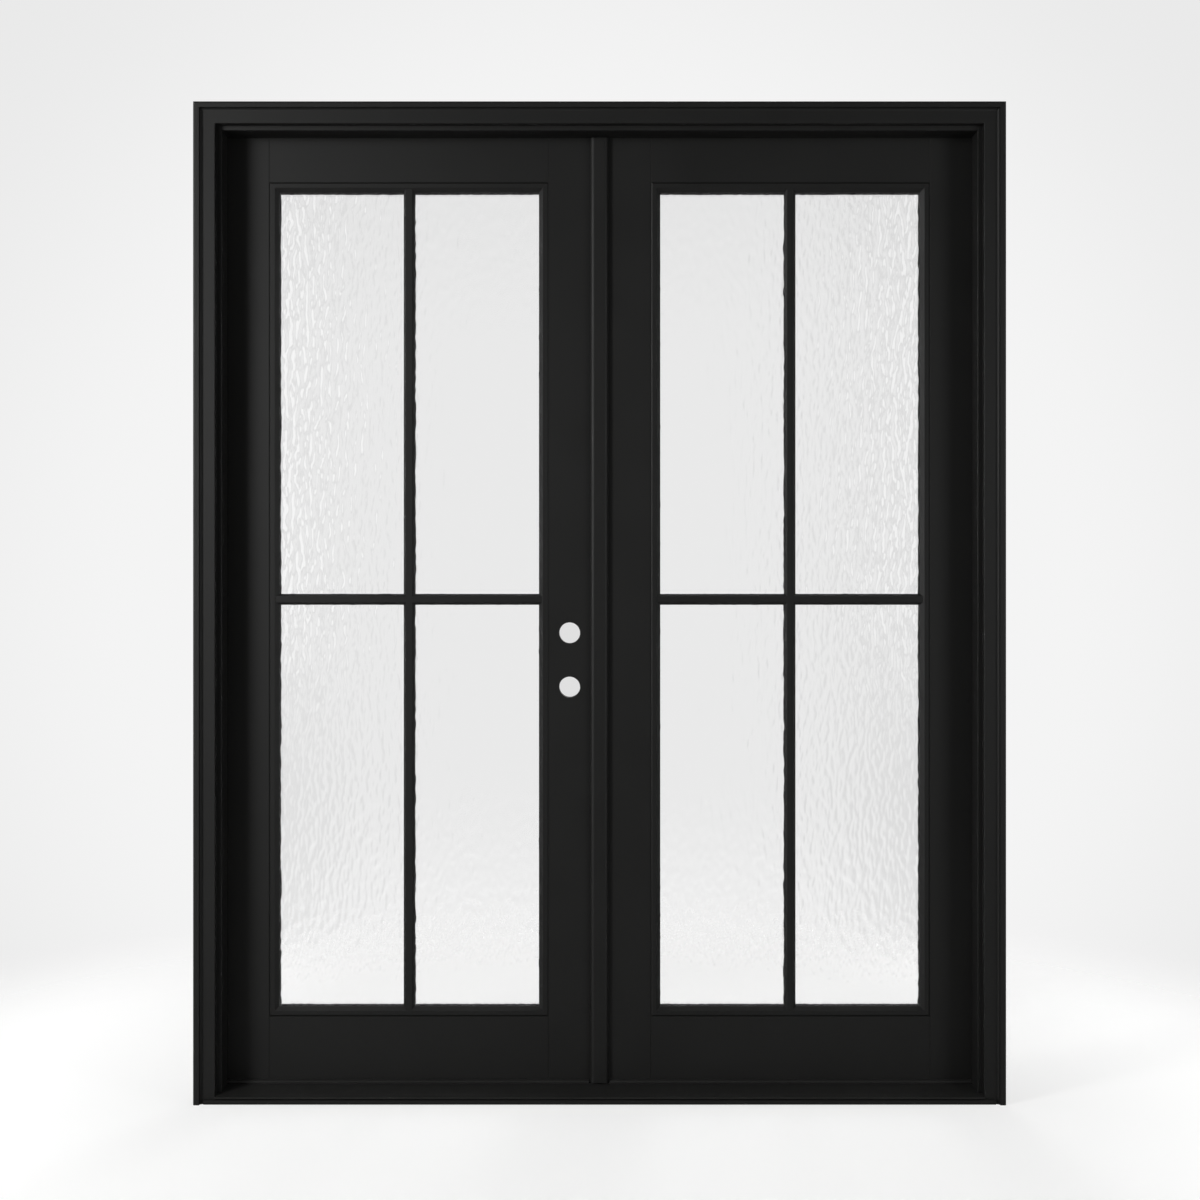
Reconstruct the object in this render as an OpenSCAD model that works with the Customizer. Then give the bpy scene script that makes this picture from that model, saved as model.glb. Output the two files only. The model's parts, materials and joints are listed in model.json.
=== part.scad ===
// Double inswing entry doors in their frame: two full-lite leaves with rain glass,
// a brickmould casing, a sloped sill and a T-astragal on the right leaf.
// X runs across the opening, Y from outdoors to indoors, Z up.
// The origin is the middle of the sill's underside, in the plane of the jambs' outer edges.

/* [Leaves] */
// Width of one leaf
leaf_w = 959.7; // [760:0.1:1100]
// Height of a leaf
leaf_h = 2432; // [1900:1:2700]
// Thickness of a leaf
leaf_t = 44.5; // [40:0.5:57]
// Gap between a leaf and the frame or the astragal
leaf_gap = 3; // [2:0.1:4]
// Width of the stile that carries the hinges
hinge_stile_w = 116.2; // [95:0.1:150]
// Width of the stile at the middle of the opening
lock_stile_w = 124.5; // [112:0.1:160]
// Height of the top rail
top_rail_h = 123; // [90:0.5:180]
// Height of the bottom rail
bottom_rail_h = 160.2; // [110:0.1:300]
// Length of the tenons at the rails' ends
tenon_l = 25; // [15:1:45]
// Thickness of the tenons
tenon_t = 14; // [10:1:18]
// Shoulder above and below each tenon
tenon_shoulder = 18; // [10:1:30]
// Gap around a tenon in its mortise
tenon_clear = 0.2; // [0.1:0.05:0.5]
// Easing of the long edges of the stiles, and of the rails where they meet them
leaf_ease = 0.8; // [0.3:0.1:2]

/* [Glazing] */
// Thickness of each pane
pane_t = 4; // [3:0.5:5]
// Space between the two panes
pane_space = 16; // [10:1:18]
// Gap between the glass unit and the leaf around it
glass_edge = 3; // [2:0.5:5]
// Width of the spacer between the panes
spacer_w = 9; // [6:0.5:12]
// Length of a setting block under the glass unit
setting_block_l = 100; // [50:5:150]
// Width of a glazing bead
bead_w = 24.5; // [20:0.5:35]
// Width of the shallow chamfer at the bead's outer edge
bead_edge_w = 4; // [2:0.5:6]
// Depth of that chamfer
bead_edge_d = 2.5; // [1:0.1:4]
// Width of the bead's flat face
bead_face_w = 10; // [6:0.5:12]
// Height of the upright edge where the bead meets the glass
bead_foot = 1.8; // [1:0.1:3]
// Width of a muntin bar
muntin_w = 28; // [20:0.5:40]
// Height of a muntin bar above the glass
muntin_h = 8; // [5:0.5:9]
// Width of the chamfers along a muntin bar
muntin_chamfer = 6; // [3:0.5:8]
// Height of a muntin bar's upright sides
muntin_side = 2; // [1:0.5:4]
// Gap in the joints between beads and between bars
bead_joint = 0.1; // [0.05:0.05:0.3]

/* [Frame] */
// Depth of the jambs, from outdoors to indoors
jamb_depth = 116; // [105:1:180]
// Thickness of the jambs at the stop
jamb_t = 32; // [28:0.5:45]
// How far the stop stands out from the rabbet
stop_t = 12.7; // [10:0.1:16]
// Space for the seal between the stop and a leaf
seal_space = 7.5; // [6:0.1:10]
// Depth of the kerf that holds the seal
kerf_d = 10; // [6:0.5:14]
// Width of the kerf
kerf_w = 3; // [2:0.1:4]
// Rounding of the stops' outer corners
jamb_round = 2; // [1:0.5:4]
// Gap between a seal and the leaf in front of it
seal_clear = 0.3; // [0.2:0.05:0.6]
// How far a seal's bulb stays back from the stop's edges
seal_inset = 1; // [0.5:0.1:2]
// Rounding of the bulb's corners
seal_round = 3; // [1:0.1:3.5]
// Depth of the kerf left empty behind a seal's fin
kerf_floor = 1.5; // [0.5:0.1:3]
// Height of the corner pads above the sill
corner_pad_h = 50; // [30:1:80]
// Gap between a corner pad and the leaf's edge
corner_pad_clear = 0.9; // [0.5:0.1:1.5]

/* [Casing] */
// Width of the casing
casing_w = 53.5; // [45:0.5:80]
// Thickness of the casing's outer band
casing_t = 32; // [26:0.5:40]
// Width of the outer band
casing_band_w = 15.2; // [10:0.1:20]
// Radius of the cove between the band and the flat
casing_cove = 8; // [5:0.5:10]
// Step from the cove's edge to the face of the band
casing_fillet = 2; // [1:0.5:4]
// Rounding of the band's outer corner
casing_round = 5; // [2:0.5:7]
// Width of the jamb's edge left bare inside the casing
casing_reveal = 12; // [6:0.5:15]

/* [Sill] */
// How far the sill's nose stands out from the jambs
sill_nose = 30; // [20:1:45]
// Height of the nose
sill_nose_h = 19.4; // [17:0.1:26]
// Height of the sloped deck at its back edge
sill_rear_h = 26.5; // [24:0.1:34]
// Thickness of the deck's aluminium
deck_t = 2; // [1.5:0.1:3]
// Height of the deck's front lip
deck_lip = 4; // [3:0.1:5]
// Gap between the deck and the threshold cap
deck_gap = 1.5; // [0.5:0.1:3]
// Height of the base's front lip
sill_lip_h = 13; // [10:0.5:14]
// Chamfer along the lip's top edge
sill_lip_chamfer = 1.8; // [1:0.1:3]
// Depth of the groove between the deck's lip and the base's lip
sill_groove = 6; // [3:0.5:10]
// How far the lip is cut back underneath
sill_lip_back = 3.8; // [2:0.1:6]
// Height of that undercut
sill_lip_rise = 4.3; // [2:0.1:6]
// Height of the threshold cap's top
threshold_h = 28.7; // [27:0.1:40]
// Thickness of the threshold cap
threshold_t = 9; // [6:0.5:14]
// Width of the sill's back edge behind the threshold cap
threshold_back = 4; // [2:0.5:10]
// Rounding of the threshold cap's edges
threshold_round = 3; // [1:0.5:5]
// Space under the leaves for the sweep
undercut = 9; // [7:0.5:14]
// How far the sill's horns reach under the casing
sill_horn = 28.5; // [20:0.5:38]
// Gap around the sill's horns
horn_clear = 0.3; // [0.2:0.05:1]

/* [Sweeps] */
// Thickness of the sweep's plate
sweep_t = 3; // [2:0.5:5]
// Thickness of a sweep fin
sweep_fin_t = 2.5; // [1.5:0.5:4]
// Number of fins
sweep_fins = 3; // [2:1:4]
// How far the sweep's plate stays back from the leaf's faces
sweep_inset = 2; // [1:0.5:4]
// How far the drip lip stands out from the leaf
drip_lip = 9; // [4:0.5:10]
// Height of the drip lip's front
drip_lip_h = 5; // [3:0.5:6]
// Gap between the drip lip and the threshold under it
drip_lip_clear = 0.8; // [0.5:0.1:2]
// Gap between the drip lip and the astragal's flange
drip_lip_end = 3; // [2:0.5:6]

/* [Astragal] */
// Thickness of the astragal's stem between the leaves
stem_t = 12; // [11:0.5:18]
// How far the flange laps the left leaf
astragal_lap = 16.5; // [10:0.5:24]
// Width of the flange's seat on the right leaf
astragal_seat = 15; // [8:0.5:24]
// Thickness of the flange
flange_t = 16; // [12:0.5:20]
// Rounding of the flange's front corners
flange_round = 11; // [4:0.5:11]
// Relief behind the lapping side for its seal
flange_relief = 4; // [3:0.1:6]
// Width of the seal behind the lapping side
lap_seal_w = 9; // [6:0.5:9]
// Width of the stem's tongue in the flange
tongue_w = 6; // [4:0.5:8]
// Depth of the tongue
tongue_d = 6; // [4:0.5:9]
// Gap around the tongue in its groove
tongue_clear = 0.2; // [0.1:0.05:0.5]
// Gap between the flange's top and the head stop
flange_top_gap = 2.2; // [1.5:0.1:5]
// Gap between the flange's foot and the threshold
flange_foot_gap = 2; // [1.5:0.1:6]

/* [Flush bolts] */
// Radius of a bolt
bolt_r = 4; // [3:0.1:4.2]
// Radial clearance of a bolt in the stem
bolt_clear = 0.1; // [0.05:0.01:0.1]
// Length of a bolt
bolt_l = 250; // [150:5:500]
// Travel of a bolt
bolt_travel = 20; // [12:1:20]
// How far a drawn bolt stays back from the stem's end
bolt_end_gap = 0.5; // [0.3:0.1:1]
// Radial clearance of a bolt in its strike
strike_clear = 1; // [0.5:0.1:2]
// Length of a bolt's thumb tab
tab_l = 16; // [10:1:25]
// Width of a thumb tab
tab_w = 6; // [4:0.5:7]
// How far a thumb tab stands out of the stem
tab_proud = 1.4; // [0.8:0.1:1.5]
// Gap around a thumb tab in its slot
tab_clear = 0.4; // [0.3:0.1:0.8]
// Thickness of the strike plates
strike_t = 2; // [1.5:0.1:3]
// Length of the strike plates
strike_l = 60; // [40:1:90]
// Width of the strike plates
strike_w = 22; // [18:0.5:26]

/* [Hinges] */
// Number of hinges on a leaf
hinge_count = 4; // [3:1:5]
// Height of a hinge
hinge_h = 101.6; // [76:0.1:127]
// Width of a hinge plate in its mortise
hinge_plate_w = 32; // [24:0.5:38]
// Thickness of a hinge plate
hinge_plate_t = 2.5; // [2:0.1:3.5]
// Rounding of the plates' corners
hinge_corner = 15.9; // [6:0.1:15.9]
// Distance from the frame's inner face to the hinge axis
hinge_offset = 7; // [6.8:0.1:10]
// Number of knuckles on a hinge
knuckles = 5; // [3:2:7]
// Radius of the knuckles
knuckle_r = 6.5; // [5.5:0.1:6.5]
// Gap between two knuckles
knuckle_gap = 0.3; // [0.2:0.05:0.5]
// Radius of a hinge pin
pin_r = 4; // [3:0.1:4.2]
// Radial clearance of a pin in the knuckles
pin_clear = 0.05; // [0.02:0.01:0.1]
// Height of the pin's button ends
pin_cap_h = 3; // [2:0.5:6]
// Rounding of the button ends
pin_cap_round = 1.8; // [0.5:0.1:2]
// Gap around a hinge plate in its mortise
mortise_clear = 0.2; // [0.1:0.05:0.5]
// Height of the top hinge's centre below the leaf's top
hinge_from_top = 230; // [180:5:300]
// Height of the bottom hinge's centre above the leaf's foot
hinge_from_foot = 330; // [250:5:400]

/* [Lock preparation] */
// Distance from the leaf's edge to the lock bores
backset = 69.85; // [60:0.05:70]
// Radius of the lock bores
lock_bore_r = 27; // [25:0.1:28]
// Height of the handle's bore above the leaf's foot
handle_h = 1008.3; // [850:0.1:1150]
// Distance between the handle's bore and the deadbolt's
lock_spacing = 139.7; // [100:0.1:160]
// Radius of the bores in the leaf's edge
edge_bore_r = 12.7; // [11:0.1:13]
// Height of the faceplate mortises
faceplate_h = 57.2; // [50:0.1:65]
// Width of the faceplate mortises
faceplate_w = 25.4; // [25:0.1:29]
// Depth of the faceplate mortises
faceplate_d = 3.2; // [2:0.1:5]
// Depth of the strike pockets in the astragal
pocket_d = 9; // [6:0.5:10]
// Height of the strike pockets
pocket_h = 44; // [36:1:60]
// Width of the strike pockets
pocket_w = 20; // [16:0.5:26]

/* [Hidden] */
$fn = 64;
// Reach of a cutting body past the face that it opens
over = 1;

// Across the opening
meet_x = (stem_t + leaf_gap) / 2;
stem_x0 = meet_x - stem_t;
leaf_x0 = meet_x;
leaf_x1 = meet_x + leaf_w;
rabbet_x = leaf_x1 + leaf_gap;
stop_x = rabbet_x - stop_t;
casing_x0 = stop_x + casing_reveal;
casing_x1 = casing_x0 + casing_w;
horn_x = casing_x0 + sill_horn;

// From outdoors to indoors
leaf_y0 = jamb_depth - leaf_t;
leaf_y1 = jamb_depth;
leaf_mid_y = (leaf_y0 + leaf_y1) / 2;
stop_y = leaf_y0 - seal_space;
hinge_y = jamb_depth + hinge_offset;
hinge_x = leaf_x1 + leaf_gap / 2;
flange_y0 = leaf_y0 - flange_t;

// Upwards
leaf_z0 = threshold_h + undercut;
leaf_z1 = leaf_z0 + leaf_h;
rabbet_z = leaf_z1 + leaf_gap;
stop_z = rabbet_z - stop_t;
frame_z = stop_z + jamb_t;
casing_z0 = stop_z + casing_reveal;
casing_z1 = casing_z0 + casing_w;

// Opening for the glass in a leaf
lite_x0 = leaf_x0 + lock_stile_w;
lite_x1 = leaf_x1 - hinge_stile_w;
lite_z0 = leaf_z0 + bottom_rail_h;
lite_z1 = leaf_z1 - top_rail_h;
lite_cx = (lite_x0 + lite_x1) / 2;
lite_cz = (lite_z0 + lite_z1) / 2;
unit_t = 2 * pane_t + pane_space;
unit_y0 = leaf_mid_y - unit_t / 2;
unit_x0 = lite_x0 + glass_edge;
unit_z0 = lite_z0 + glass_edge;
unit_w = lite_x1 - lite_x0 - 2 * glass_edge;
unit_h = lite_z1 - lite_z0 - 2 * glass_edge;
bead_d = unit_y0 - leaf_y0;
bead_slope_x = bead_edge_w + bead_face_w;

// Sill section
sill_nose_y = -sill_nose;
deck_y1 = stop_y - deck_gap;
cap_z0 = threshold_h - threshold_t;
cap_y1 = jamb_depth - threshold_back;
casing_flat_t = casing_t - casing_cove - casing_fillet;

// Hinges and locks
knuckle_h = (hinge_h - (knuckles - 1) * knuckle_gap) / knuckles;
hinge_step = (leaf_h - hinge_from_top - hinge_from_foot) / (hinge_count - 1);
hinge_zs = [for (i = [0 : hinge_count - 1]) leaf_z0 + hinge_from_foot + i * hinge_step];
lock_x = leaf_x0 + backset;
lock_zs = [leaf_z0 + handle_h, leaf_z0 + handle_h + lock_spacing];
bolt_x = (stem_x0 + meet_x) / 2;
bolt_y = leaf_mid_y;
strike_depth = bolt_travel + over;
flange_z0 = threshold_h + flange_foot_gap;
flange_z1 = stop_z - flange_top_gap;

paint = "#1f1f1e";
seal_black = "#151515";
deck_black = "#252524";
clear_glass = "#e6e8e7";
bare_steel = "#8c8c8a";

// Helpers: every piece is drawn on the right-hand side, and mirrored for the left

module on_side(side) {
    if (side < 0) mirror([1, 0, 0]) children();
    else children();
}

// A section drawn in Y and Z, run along X from x0 to x1
module run_x(x0, x1) {
    translate([x0, 0, 0]) rotate([90, 0, 90]) linear_extrude(x1 - x0) children();
}

// An outline drawn in X and Z, run along Y from y0 to y1
module run_y(y0, y1) {
    translate([0, y1, 0]) rotate([90, 0, 0]) linear_extrude(y1 - y0) children();
}

// A section drawn in X and Y, run along Z from z0 to z1
module run_z(z0, z1) {
    translate([0, 0, z0]) linear_extrude(z1 - z0) children();
}

module block(low, high) {
    translate(low) cube(high - low);
}

// What rounds off a corner at the origin whose solid lies towards the direction given
module corner_round(r, toward) {
    translate([toward.x * r, toward.y * r]) difference() {
        translate([toward.x > 0 ? -r - over : 0, toward.y > 0 ? -r - over : 0]) square(r + over);
        circle(r);
    }
}

// A rectangle with half-round ends, centred, long way up
module stadium(w, h) {
    square([w, h - w], center = true);
    for (end = [-1, 1]) translate([0, end * (h - w) / 2]) circle(w / 2);
}

// Frame

module jamb_section() {
    difference() {
        union() {
            translate([stop_x, 0]) square([jamb_t, stop_y]);
            translate([rabbet_x, 0]) square([jamb_t - stop_t, jamb_depth]);
        }
        translate([stop_x, 0]) corner_round(jamb_round, [1, 1]);
        translate([(stop_x + rabbet_x - kerf_w) / 2, stop_y - kerf_d]) square([kerf_w, kerf_d + over]);
    }
}

module jamb(side) {
    color(paint) on_side(side) difference() {
        run_z(0, frame_z) jamb_section();
        for (z = hinge_zs) hinge_mortise(rabbet_x - over, rabbet_x + hinge_plate_t, z);
    }
}

module head_section() {
    difference() {
        union() {
            translate([0, stop_z]) square([stop_y, jamb_t]);
            translate([0, rabbet_z]) square([jamb_depth, jamb_t - stop_t]);
        }
        translate([0, stop_z]) corner_round(jamb_round, [1, 1]);
        translate([stop_y - kerf_d, (stop_z + rabbet_z - kerf_w) / 2]) square([kerf_d + over, kerf_w]);
    }
}

module head_jamb() {
    color(paint) difference() {
        intersection() {
            run_x(-rabbet_x, rabbet_x) head_section();
            union() {
                block([-stop_x, -over, 0], [stop_x, stop_y, frame_z + over]);
                block([-rabbet_x, stop_y, 0], [rabbet_x, jamb_depth + over, frame_z + over]);
            }
        }
        translate([bolt_x, bolt_y, rabbet_z - over]) cylinder(r = bolt_r + strike_clear, h = strike_depth);
        run_z(rabbet_z - over, rabbet_z + strike_t) strike_outline(mortise_clear);
    }
}

// Casing section: u runs from the inner edge outwards, v from the wall to the face
module casing_section() {
    band_u = casing_w - casing_band_w;
    difference() {
        union() {
            square([casing_w, casing_flat_t]);
            translate([band_u, 0]) square([casing_band_w, casing_t]);
            translate([band_u - casing_cove, casing_flat_t - over]) square(casing_cove + over);
        }
        translate([band_u - casing_cove, casing_flat_t + casing_cove]) circle(casing_cove);
        translate([casing_w, casing_t]) corner_round(casing_round, [-1, -1]);
        translate([0, casing_flat_t]) corner_round(casing_fillet, [1, -1]);
    }
}

module casing_leg(side) {
    color(paint) on_side(side) difference() {
        intersection() {
            run_z(0, casing_z1) translate([casing_x0, 0]) mirror([0, 1]) casing_section();
            run_y(-casing_t - over, over) polygon([
                [casing_x0, 0], [casing_x1, 0], [casing_x1, casing_z1], [casing_x0, casing_z0]
            ]);
        }
        block([casing_x0 - over, -casing_t - over, -over],
            [horn_x + horn_clear, over, sill_lip_h + horn_clear]);
    }
}

module head_casing() {
    color(paint) intersection() {
        run_x(-casing_x1, casing_x1) translate([0, casing_z0]) rotate(90) casing_section();
        run_y(-casing_t - over, over) polygon([
            [-casing_x1, casing_z1], [casing_x1, casing_z1], [casing_x0, casing_z0], [-casing_x0, casing_z0]
        ]);
    }
}

// Sill

// Room that the jambs and the casing leave for the sill
module sill_room() {
    top = threshold_h + over;
    block([-horn_x, sill_nose_y, 0], [horn_x, 0, sill_lip_h]);
    block([-casing_x0, sill_nose_y, 0], [casing_x0, 0, top]);
    block([-stop_x, -over, 0], [stop_x, stop_y, top]);
    block([-rabbet_x, stop_y, 0], [rabbet_x, jamb_depth, top]);
}

module bottom_strike_bore() {
    translate([bolt_x, bolt_y, threshold_h - strike_depth])
        cylinder(r = bolt_r + strike_clear, h = strike_depth + over);
}

module sill_base() {
    groove_y = sill_nose_y + sill_groove;
    deck_fall = (sill_rear_h - sill_nose_h) / (deck_y1 - sill_nose_y - deck_t);
    color(deck_black) difference() {
        intersection() {
            run_x(-horn_x, horn_x) polygon([
                [sill_nose_y + sill_lip_back, 0],
                [sill_nose_y, sill_lip_rise],
                [sill_nose_y, sill_lip_h - sill_lip_chamfer],
                [groove_y, sill_lip_h],
                [groove_y, sill_nose_h - deck_t + deck_fall * (sill_groove - deck_t)],
                [deck_y1, sill_rear_h - deck_t],
                [deck_y1, cap_z0],
                [jamb_depth, cap_z0],
                [jamb_depth, 0]
            ]);
            sill_room();
        }
        bottom_strike_bore();
    }
}

module sill_deck() {
    color(deck_black) intersection() {
        run_x(-casing_x0, casing_x0) polygon([
            [sill_nose_y, sill_nose_h - deck_lip],
            [sill_nose_y, sill_nose_h],
            [deck_y1, sill_rear_h],
            [deck_y1, sill_rear_h - deck_t],
            [sill_nose_y + deck_t, sill_nose_h - deck_t],
            [sill_nose_y + deck_t, sill_nose_h - deck_lip]
        ]);
        sill_room();
    }
}

module threshold_cap() {
    color(deck_black) difference() {
        run_x(-rabbet_x, rabbet_x) difference() {
            translate([stop_y, cap_z0]) square([cap_y1 - stop_y, threshold_t]);
            translate([stop_y, threshold_h]) corner_round(threshold_round, [1, -1]);
            translate([cap_y1, threshold_h]) corner_round(threshold_round, [-1, -1]);
        }
        bottom_strike_bore();
        run_z(threshold_h - strike_t, threshold_h + over) strike_outline(mortise_clear);
    }
}

// Seals

// Section of a kerf seal: its fin goes down the kerf, and its bulb stands towards the leaf
module seal_section() {
    bulb_w = stop_t - 2 * seal_inset;
    bulb_h = seal_space - seal_clear;
    translate([-kerf_w / 2, kerf_floor - kerf_d]) square([kerf_w, kerf_d - kerf_floor + over]);
    difference() {
        translate([-bulb_w / 2, 0]) square([bulb_w, bulb_h]);
        for (end = [-1, 1]) translate([end * bulb_w / 2, bulb_h]) corner_round(seal_round, [-end, -1]);
    }
}

module side_seal(side) {
    color(seal_black) on_side(side) run_z(threshold_h, stop_z)
        translate([(stop_x + rabbet_x) / 2, stop_y]) seal_section();
}

module head_seal() {
    color(seal_black) run_x(-stop_x, stop_x)
        translate([stop_y, (stop_z + rabbet_z) / 2]) rotate(-90) seal_section();
}

module corner_pads() {
    pad_t = leaf_gap - corner_pad_clear;
    color(seal_black) for (side = [-1, 1]) on_side(side)
        block([rabbet_x - pad_t, leaf_y0, threshold_h], [rabbet_x, leaf_mid_y, threshold_h + corner_pad_h]);
}

// Hinges

module hinge_outline(clear) {
    w = hinge_plate_w + clear;
    h = hinge_h + 2 * clear;
    r = hinge_corner;
    translate([jamb_depth - w, -h / 2]) {
        translate([r, 0]) square([w - r, h]);
        translate([0, r]) square([w, h - 2 * r]);
        for (z = [r, h - r]) translate([r, z]) circle(r);
    }
}

module hinge_mortise(x0, x1, z) {
    translate([0, 0, z]) run_x(x0, x1) {
        hinge_outline(mortise_clear);
        translate([jamb_depth - over, -hinge_h / 2 - mortise_clear])
            square([2 * over, hinge_h + 2 * mortise_clear]);
    }
}

// One hinge half: its plate starts at x0, and it has every second knuckle from the first given
module hinge_half(x0, first) {
    difference() {
        union() {
            run_x(x0, x0 + hinge_plate_t) hinge_outline(0);
            for (i = [first : 2 : knuckles - 1]) {
                z0 = -hinge_h / 2 + i * (knuckle_h + knuckle_gap);
                block([x0, jamb_depth - over, z0], [x0 + hinge_plate_t, hinge_y, z0 + knuckle_h]);
                translate([hinge_x, hinge_y, z0]) cylinder(r = knuckle_r, h = knuckle_h);
            }
        }
        translate([hinge_x, hinge_y, -hinge_h]) cylinder(r = pin_r + pin_clear, h = 2 * hinge_h);
    }
}

module frame_hinges(side) {
    color(paint) on_side(side) for (z = hinge_zs) translate([0, 0, z]) hinge_half(rabbet_x, 0);
}

module leaf_hinges(side) {
    color(paint) on_side(side) for (z = hinge_zs) translate([0, 0, z]) hinge_half(leaf_x1 - hinge_plate_t, 1);
}

module hinge_pins(side) {
    color(paint) on_side(side) for (z = hinge_zs) translate([hinge_x, hinge_y, z]) {
        cylinder(r = pin_r, h = hinge_h + pin_cap_h, center = true);
        for (end = [0, 1]) mirror([0, 0, end]) translate([0, 0, hinge_h / 2]) rotate_extrude() difference() {
            square([knuckle_r, pin_cap_h]);
            translate([knuckle_r, pin_cap_h]) corner_round(pin_cap_round, [-1, -1]);
        }
    }
}

// Leaves

module rail_tenons(z0, z1, clear) {
    for (x = [lite_x0, lite_x1])
        block([x - tenon_l - clear, leaf_mid_y - tenon_t / 2 - clear, z0 + tenon_shoulder - clear],
            [x + tenon_l + clear, leaf_mid_y + tenon_t / 2 + clear, z1 - tenon_shoulder + clear]);
}

module tenon_mortises() {
    rail_tenons(leaf_z0, lite_z0, tenon_clear);
    rail_tenons(lite_z1, leaf_z1, tenon_clear);
}

// A board of the leaf with its upright edges eased
module leaf_board(x0, x1, z0, z1) {
    e = leaf_ease;
    run_z(z0, z1) polygon([
        [x0 + e, leaf_y0], [x1 - e, leaf_y0], [x1, leaf_y0 + e], [x1, leaf_y1 - e],
        [x1 - e, leaf_y1], [x0 + e, leaf_y1], [x0, leaf_y1 - e], [x0, leaf_y0 + e]
    ]);
}

module hinge_stile(side) {
    color(paint) on_side(side) difference() {
        leaf_board(lite_x1, leaf_x1, leaf_z0, leaf_z1);
        tenon_mortises();
        for (z = hinge_zs) hinge_mortise(leaf_x1 - hinge_plate_t, leaf_x1 + over, z);
    }
}

// The stile at the middle of the opening, before any lock is bored
module middle_stile() {
    difference() {
        leaf_board(leaf_x0, lite_x0, leaf_z0, leaf_z1);
        tenon_mortises();
    }
}

module lock_preparation() {
    for (z = lock_zs) {
        translate([lock_x, leaf_y0 - over, z]) rotate([-90, 0, 0])
            cylinder(r = lock_bore_r, h = leaf_t + 2 * over);
        translate([leaf_x0 - over, leaf_mid_y, z]) rotate([0, 90, 0])
            cylinder(r = edge_bore_r, h = backset + over);
        translate([0, leaf_mid_y, z]) run_x(leaf_x0 - over, leaf_x0 + faceplate_d)
            stadium(faceplate_w, faceplate_h);
    }
}

module lock_stile() {
    color(paint) on_side(-1) difference() {
        middle_stile();
        lock_preparation();
    }
}

module meeting_stile() {
    color(paint) middle_stile();
}

module rail(side, z0, z1) {
    color(paint) on_side(side) {
        leaf_board(lite_x0, lite_x1, z0, z1);
        rail_tenons(z0, z1, 0);
    }
}

// What lies on the outer face is turned over for the inner face
module on_face(inner) {
    if (inner) translate([0, 2 * leaf_mid_y, 0]) mirror([0, 1, 0]) children();
    else children();
}

// Bead section: u runs from the leaf's opening to the glass, v from the leaf's face inwards
module bead_section() {
    polygon([
        [0, bead_edge_d], [bead_edge_w, 0], [bead_slope_x, 0],
        [bead_w, bead_d - bead_foot], [bead_w, bead_d], [0, bead_d]
    ]);
}

module beads(side, inner) {
    xm0 = lite_x0 + bead_w;
    xm1 = lite_x1 - bead_w;
    zm0 = lite_z0 + bead_w;
    zm1 = lite_z1 - bead_w;
    color(paint) on_side(side) on_face(inner) {
        intersection() {
            run_z(lite_z0, lite_z1) translate([lite_x0, leaf_y0]) bead_section();
            run_y(leaf_y0, unit_y0)
                polygon([[lite_x0, lite_z0], [xm0, zm0], [xm0, zm1], [lite_x0, lite_z1]]);
        }
        intersection() {
            run_z(lite_z0, lite_z1) translate([lite_x1, leaf_y0]) mirror([1, 0]) bead_section();
            run_y(leaf_y0, unit_y0)
                polygon([[lite_x1, lite_z0], [lite_x1, lite_z1], [xm1, zm1], [xm1, zm0]]);
        }
        intersection() {
            run_x(lite_x0, lite_x1) translate([leaf_y0, lite_z0]) mirror([1, -1]) bead_section();
            run_y(leaf_y0, unit_y0)
                polygon([
                    [lite_x0 + bead_joint, lite_z0], [lite_x1 - bead_joint, lite_z0],
                    [xm1 - bead_joint, zm0], [xm0 + bead_joint, zm0]
                ]);
        }
        intersection() {
            run_x(lite_x0, lite_x1) translate([leaf_y0, lite_z1]) rotate(-90) bead_section();
            run_y(leaf_y0, unit_y0)
                polygon([
                    [lite_x0 + bead_joint, lite_z1], [xm0 + bead_joint, zm1],
                    [xm1 - bead_joint, zm1], [lite_x1 - bead_joint, lite_z1]
                ]);
        }
    }
}

module pane(side, y0) {
    color(clear_glass) on_side(side)
        block([unit_x0, y0, unit_z0], [unit_x0 + unit_w, y0 + pane_t, unit_z0 + unit_h]);
}

module spacer(side) {
    y0 = unit_y0 + pane_t;
    color(bare_steel) on_side(side) run_y(y0, y0 + pane_space) difference() {
        translate([unit_x0, unit_z0]) square([unit_w, unit_h]);
        translate([unit_x0 + spacer_w, unit_z0 + spacer_w])
            square([unit_w - 2 * spacer_w, unit_h - 2 * spacer_w]);
    }
}

module setting_blocks(side) {
    half = setting_block_l / 2;
    color(seal_black) on_side(side) for (x = [unit_x0 + unit_w / 4, unit_x0 + 3 * unit_w / 4])
        block([x - half, unit_y0, lite_z0], [x + half, unit_y0 + unit_t, unit_z0]);
}

// Muntin section: across the bar, and up from the glass towards the leaf's face
module muntin_section() {
    half = muntin_w / 2;
    flat = half - muntin_chamfer;
    polygon([
        [-half, 0], [half, 0], [half, muntin_side], [flat, muntin_h], [-flat, muntin_h], [-half, muntin_side]
    ]);
}

// Where a bar ends at a bead: points [reach past the bead's foot, height above the glass]
function bead_end() = [
    [0, 0], [0, bead_foot],
    [(muntin_h - bead_foot) / (bead_d - bead_foot) * (bead_w - bead_slope_x), muntin_h]
];

// Where a bar ends at the side of a crossing bar
function cross_end() = [[0, 0], [0, muntin_side], [muntin_chamfer, muntin_h]];

// Outline of a bar seen from its side, between the ends given
function bar_outline(a, a_end, b, b_end) = concat(
    [for (p = a_end) [a - p[0], p[1]]],
    [for (i = [len(b_end) - 1 : -1 : 0]) [b + b_end[i][0], b_end[i][1]]]
);

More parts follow.
